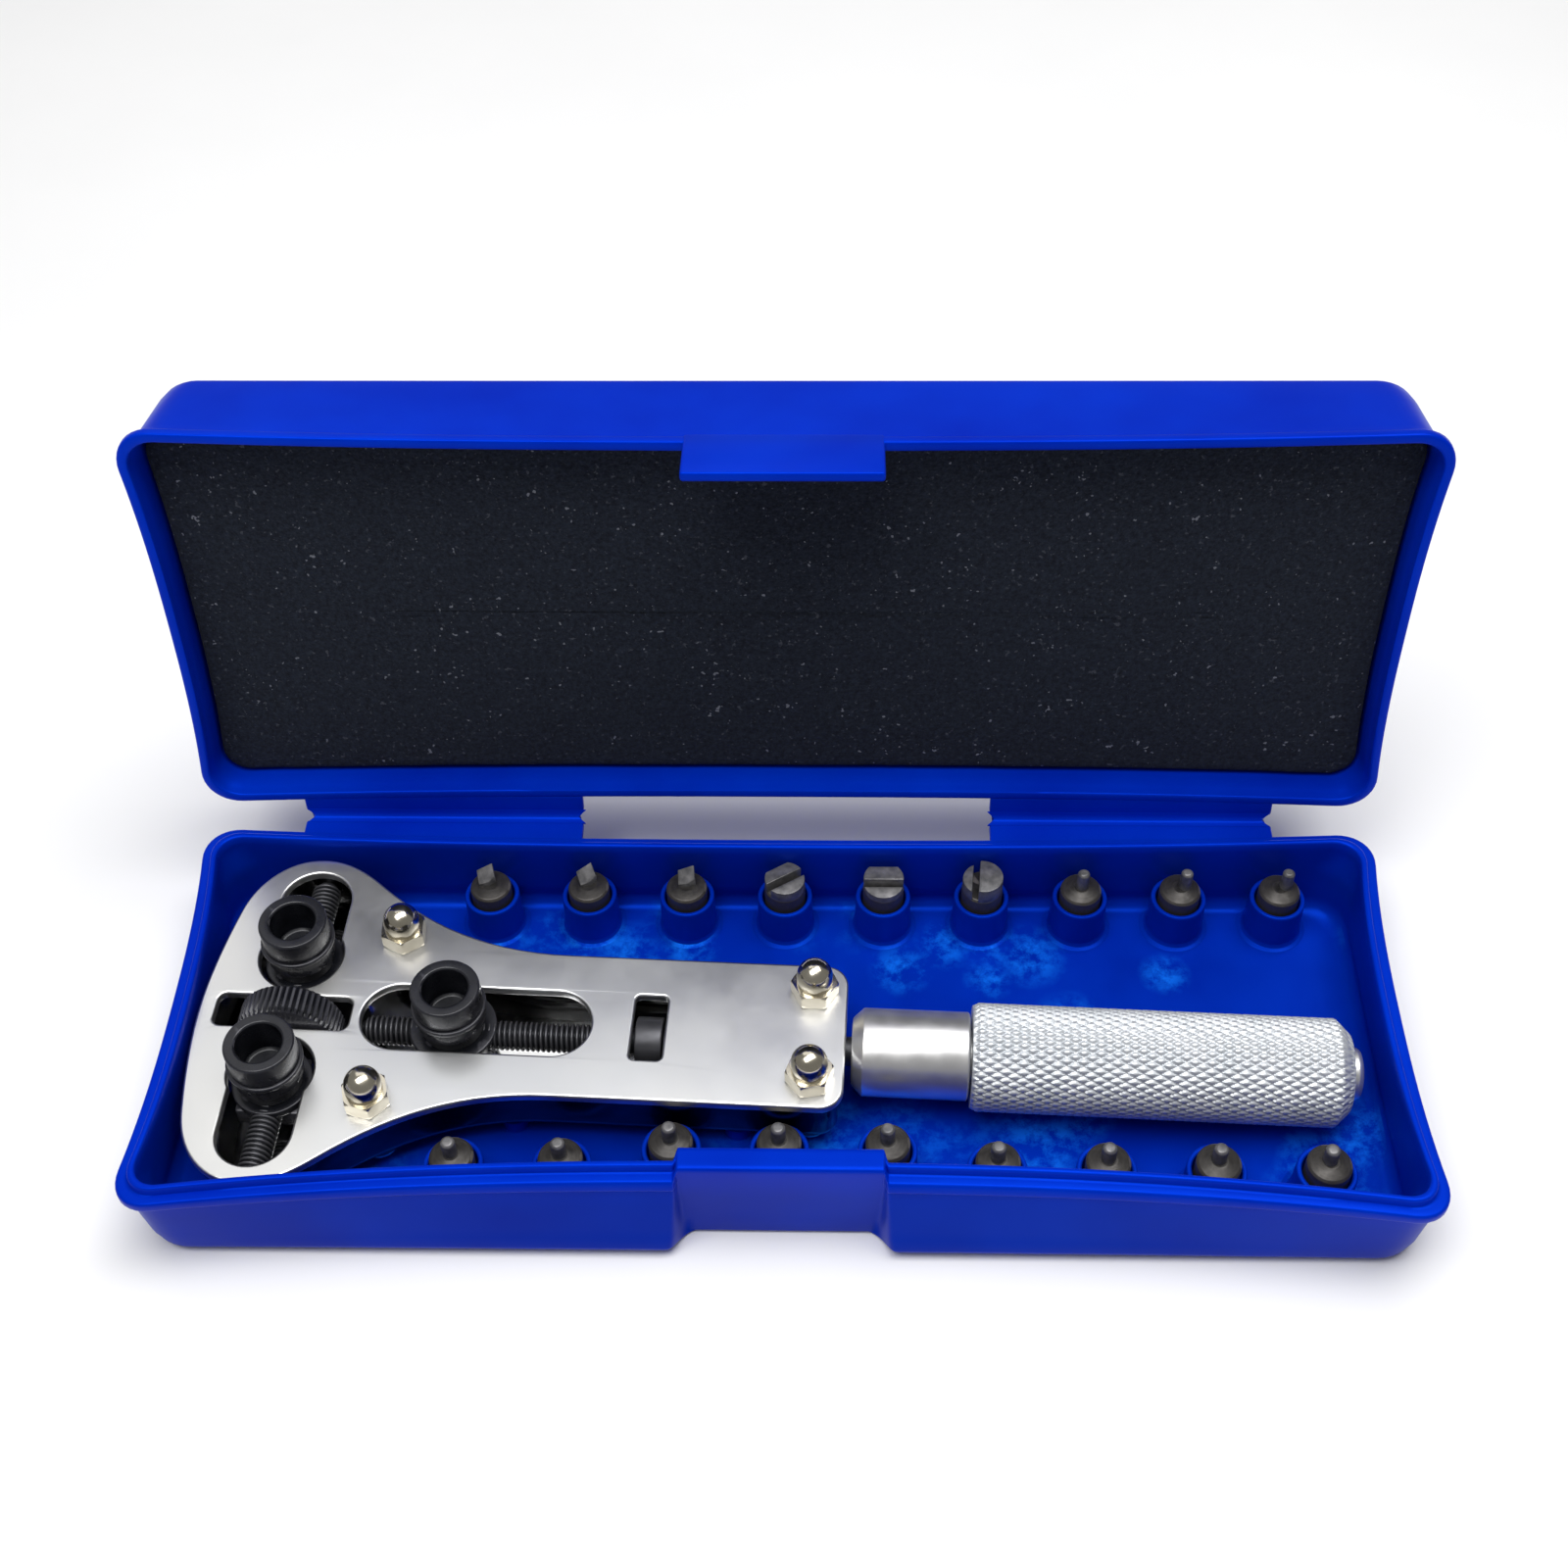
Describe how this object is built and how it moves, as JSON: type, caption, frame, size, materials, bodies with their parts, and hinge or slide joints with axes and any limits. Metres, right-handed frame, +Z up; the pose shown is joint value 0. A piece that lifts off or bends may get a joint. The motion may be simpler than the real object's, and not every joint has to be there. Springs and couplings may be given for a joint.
{
  "type": "case back opener",
  "caption": "Adjustable three-jaw wrench for screwed watch case backs, in a hinged blue plastic case with its loose bits.",
  "frame": {"origin": "middle of the case base's flat underside, on the table", "axes": "+X along the case towards the wrench's handle, +Y towards the lid's hinge, +Z up"},
  "size_m": [0.1668, 0.0879, 0.0776],
  "materials": {
    "blue_plastic": "moulded blue plastic with a soft sheen",
    "black_foam": "matte open-cell black foam",
    "polished_nickel": "polished plate",
    "nickel_fasteners": "polished, slightly warm",
    "dark_steel": "plain threaded steel",
    "blackened_steel": "satin black oxide",
    "bright_steel": "polished ball",
    "satin_aluminium": "diamond knurled, bright satin",
    "bit_steel": "turned dark steel"
  },
  "bodies": {
    "case": {"case_base": "blue_plastic", "hinge_web_left": "blue_plastic", "hinge_web_right": "blue_plastic"},
    "lid": {"case_lid": "blue_plastic", "lid_foam": "black_foam"},
    "wrench": {"top_plate": "polished_nickel", "bottom_shell": "polished_nickel", "clamp_screw_1": "nickel_fasteners", "clamp_screw_2": "nickel_fasteners", "clamp_screw_3": "nickel_fasteners", "clamp_screw_4": "nickel_fasteners", "acorn_nut_1": "nickel_fasteners", "acorn_nut_2": "nickel_fasteners", "acorn_nut_3": "nickel_fasteners", "acorn_nut_4": "nickel_fasteners"},
    "head_screw": {"head_spindle": "dark_steel", "head_thumbwheel": "blackened_steel"},
    "rear_jaw": {"rear_jaw_nut": "blackened_steel", "rear_chuck": "blackened_steel", "rear_snap_ring": "blackened_steel", "rear_catch_ball": "bright_steel"},
    "front_jaw": {"front_jaw_nut": "blackened_steel", "front_chuck": "blackened_steel", "front_snap_ring": "blackened_steel", "front_catch_ball": "bright_steel"},
    "centre_jaw": {"centre_jaw_nut": "blackened_steel", "centre_chuck": "blackened_steel", "centre_snap_ring": "blackened_steel", "centre_catch_ball": "bright_steel"},
    "handle": {"centre_spindle": "dark_steel", "handle_shank": "polished_nickel", "handle_grip": "satin_aluminium"},
    "wedge_bit_1": {"wedge_bit_1": "bit_steel"},
    "wedge_bit_2": {"wedge_bit_2": "bit_steel"},
    "wedge_bit_3": {"wedge_bit_3": "bit_steel"},
    "claw_bit_1": {"claw_bit_1": "bit_steel"},
    "claw_bit_2": {"claw_bit_2": "bit_steel"},
    "claw_bit_3": {"claw_bit_3": "bit_steel"},
    "pin_bit_1": {"pin_bit_1": "bit_steel"},
    "pin_bit_2": {"pin_bit_2": "bit_steel"},
    "pin_bit_3": {"pin_bit_3": "bit_steel"},
    "pin_bit_4": {"pin_bit_4": "bit_steel"},
    "pin_bit_5": {"pin_bit_5": "bit_steel"},
    "pin_bit_6": {"pin_bit_6": "bit_steel"},
    "pin_bit_7": {"pin_bit_7": "bit_steel"},
    "pin_bit_8": {"pin_bit_8": "bit_steel"},
    "pin_bit_9": {"pin_bit_9": "bit_steel"},
    "pin_bit_10": {"pin_bit_10": "bit_steel"},
    "pin_bit_11": {"pin_bit_11": "bit_steel"},
    "pin_bit_12": {"pin_bit_12": "bit_steel"}
  },
  "joints": [
    {"name": "lid_hinge", "type": "hinge", "parent": "case", "child": "lid", "pos_m": [0, 0.0332, 0.01415], "axis": [-1, 0, 0], "range_deg": [-97, 55], "deforming": ["lid_foam"]},
    {"name": "wrench_lift", "type": "slide", "parent": "case", "child": "wrench", "axis": [0, 0, 1], "range_m": [0, 0.04]},
    {"name": "head_wheel_turn", "type": "hinge", "parent": "wrench", "child": "head_screw", "pos_m": [-0.06667, -0.00005, 0.0091], "axis": [0.0445, 0.999, 0], "range_deg": [-715, 4050]},
    {"name": "rear_jaw_slide", "type": "slide", "parent": "wrench", "child": "rear_jaw", "axis": [0.0445, 0.999, 0], "range_m": [-0.0014, 0.0079]},
    {"name": "front_jaw_slide", "type": "slide", "parent": "wrench", "child": "front_jaw", "axis": [-0.0445, -0.999, 0], "range_m": [-0.0014, 0.0079]},
    {"name": "handle_turn", "type": "hinge", "parent": "wrench", "child": "handle", "pos_m": [0.00855, -0.0034, 0.0091], "axis": [0.999, -0.0445, 0], "range_deg": [-6930, 3080]},
    {"name": "centre_jaw_slide", "type": "slide", "parent": "wrench", "child": "centre_jaw", "axis": [-0.999, 0.0445, 0], "range_m": [-0.0135, 0.006]},
    {"name": "wedge_bit_1_lift", "type": "slide", "parent": "case", "child": "wedge_bit_1", "axis": [0, 0, 1], "range_m": [0, 0.012]},
    {"name": "wedge_bit_2_lift", "type": "slide", "parent": "case", "child": "wedge_bit_2", "axis": [0, 0, 1], "range_m": [0, 0.012]},
    {"name": "wedge_bit_3_lift", "type": "slide", "parent": "case", "child": "wedge_bit_3", "axis": [0, 0, 1], "range_m": [0, 0.012]},
    {"name": "claw_bit_1_lift", "type": "slide", "parent": "case", "child": "claw_bit_1", "axis": [0, 0, 1], "range_m": [0, 0.012]},
    {"name": "claw_bit_2_lift", "type": "slide", "parent": "case", "child": "claw_bit_2", "axis": [0, 0, 1], "range_m": [0, 0.012]},
    {"name": "claw_bit_3_lift", "type": "slide", "parent": "case", "child": "claw_bit_3", "axis": [0, 0, 1], "range_m": [0, 0.012]},
    {"name": "pin_bit_1_lift", "type": "slide", "parent": "case", "child": "pin_bit_1", "axis": [0, 0, 1], "range_m": [0, 0.012]},
    {"name": "pin_bit_2_lift", "type": "slide", "parent": "case", "child": "pin_bit_2", "axis": [0, 0, 1], "range_m": [0, 0.012]},
    {"name": "pin_bit_3_lift", "type": "slide", "parent": "case", "child": "pin_bit_3", "axis": [0, 0, 1], "range_m": [0, 0.012]},
    {"name": "pin_bit_4_lift", "type": "slide", "parent": "case", "child": "pin_bit_4", "axis": [0, 0, 1], "range_m": [0, 0.012]},
    {"name": "pin_bit_5_lift", "type": "slide", "parent": "case", "child": "pin_bit_5", "axis": [0, 0, 1], "range_m": [0, 0.012]},
    {"name": "pin_bit_6_lift", "type": "slide", "parent": "case", "child": "pin_bit_6", "axis": [0, 0, 1], "range_m": [0, 0.012]},
    {"name": "pin_bit_7_lift", "type": "slide", "parent": "case", "child": "pin_bit_7", "axis": [0, 0, 1], "range_m": [0, 0.012]},
    {"name": "pin_bit_8_lift", "type": "slide", "parent": "case", "child": "pin_bit_8", "axis": [0, 0, 1], "range_m": [0, 0.012]},
    {"name": "pin_bit_9_lift", "type": "slide", "parent": "case", "child": "pin_bit_9", "axis": [0, 0, 1], "range_m": [0, 0.012]},
    {"name": "pin_bit_10_lift", "type": "slide", "parent": "case", "child": "pin_bit_10", "axis": [0, 0, 1], "range_m": [0, 0.012]},
    {"name": "pin_bit_11_lift", "type": "slide", "parent": "case", "child": "pin_bit_11", "axis": [0, 0, 1], "range_m": [0, 0.012]},
    {"name": "pin_bit_12_lift", "type": "slide", "parent": "case", "child": "pin_bit_12", "axis": [0, 0, 1], "range_m": [0, 0.012]}
  ],
  "couplings": [
    {"joint": "rear_jaw_slide", "follows": "head_wheel_turn", "m_per_rad": 0.00011141},
    {"joint": "front_jaw_slide", "follows": "head_wheel_turn", "m_per_rad": 0.00011141},
    {"joint": "centre_jaw_slide", "follows": "handle_turn", "m_per_rad": 0.00011141}
  ]
}
